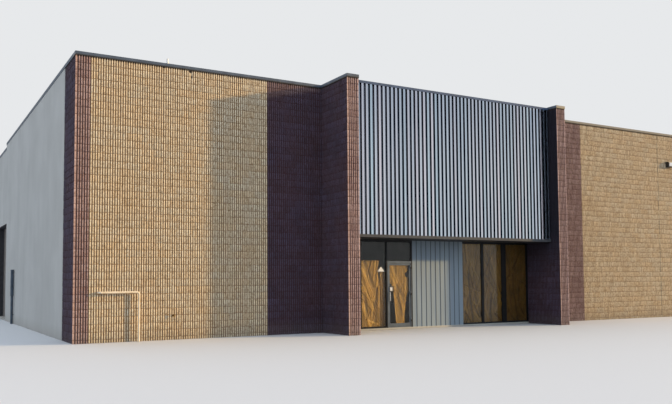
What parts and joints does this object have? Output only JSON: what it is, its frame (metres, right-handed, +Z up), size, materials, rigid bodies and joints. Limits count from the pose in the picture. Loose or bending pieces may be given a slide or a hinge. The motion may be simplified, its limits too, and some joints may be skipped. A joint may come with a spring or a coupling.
{
  "type": "single-storey block shop building",
  "caption": "Low flat-roofed shop building of ribbed block with a recessed glazed entrance between projecting wings under a deep-ribbed metal fascia.",
  "frame": {"origin": "centre of the whole outline seen from above, at ground level", "axes": "+Z up, +X along the front to the right, +Y from the front into the building"},
  "size_m": [31.9578, 26.0336, 8.3296],
  "materials": {
    "concrete": "float finished concrete",
    "brown_block": "painted split-ribbed block",
    "tan_block": "painted split-ribbed block",
    "painted_wall": "smooth painted render",
    "structural_steel": "primed steel",
    "roof_membrane": "weathered roofing sheet",
    "dark_coping": "coil-coated sheet",
    "light_coping": "coil-coated sheet",
    "ribbed_metal": "coil-coated ribbed sheet",
    "trim_metal": "coil-coated trim",
    "soffit_board": "dark panel",
    "black_aluminium": "black anodised",
    "window_glass": "clear float glass",
    "door_pane_glass": "clear float glass",
    "siding_metal": "coil-coated ribbed sheet",
    "wall_board": "sheathed framing",
    "kraft_paper": "creased kraft paper",
    "bronze_aluminium": "light bronze anodised",
    "door_fittings": "painted fittings",
    "sill_metal": "mill finish",
    "loading_door_steel": "painted steel panels",
    "painted_pipe": "painted steel pipe",
    "tap_brass": "weathered brass",
    "lamp_housing": "cast housing",
    "side_pipe_paint": "painted pipe",
    "vent_plastic": "plain plastic"
  },
  "bodies": {
    "building": {"floor_slab": "concrete", "corner_piers": "brown_block", "front_wall_left": "tan_block", "front_wall_right": "tan_block", "entry_wing_left": "brown_block", "entry_wing_right": "brown_block", "side_wall_left_front": "painted_wall", "side_wall_left_header": "painted_wall", "side_wall_left_rear": "painted_wall", "side_wall_right": "painted_wall", "rear_wall": "painted_wall", "entrance_header": "brown_block", "entrance_lintel": "structural_steel", "roof_deck": "roof_membrane", "roof_beams": "structural_steel", "coping_front_left": "dark_coping", "coping_front_right": "light_coping", "coping_wings": "dark_coping", "coping_sides": "light_coping", "coping_rear": "light_coping", "fascia_panel": "ribbed_metal", "fascia_rails": "structural_steel", "fascia_coping": "dark_coping", "fascia_trim": "trim_metal", "soffit": "soffit_board", "shopfront_frame_left": "black_aluminium", "shopfront_frame_right": "black_aluminium", "shopfront_glass": "window_glass", "door_hinges": "black_aluminium", "siding_panel": "siding_metal", "siding_wall_frame": "wall_board", "window_paper": "kraft_paper", "door_sill": "sill_metal", "loading_door": "loading_door_steel", "loading_jambs": "structural_steel", "wall_pipe": "painted_pipe", "garden_tap": "tap_brass", "wall_lamp": "lamp_housing", "side_pipe": "side_pipe_paint", "roof_vent": "vent_plastic"},
    "entrance_door": {"door_leaf": "bronze_aluminium", "door_glass": "door_pane_glass", "door_paper": "kraft_paper", "door_hardware": "door_fittings", "door_closer": "black_aluminium"}
  },
  "joints": [
    {"name": "door_hinge", "type": "hinge", "parent": "building", "child": "entrance_door", "pos_m": [-4.815, -11.3902, 0.06], "axis": [0, 0, 1], "range_deg": [0, 90], "stiffness_Nm_per_rad": 10, "springref_deg": -20.05}
  ]
}
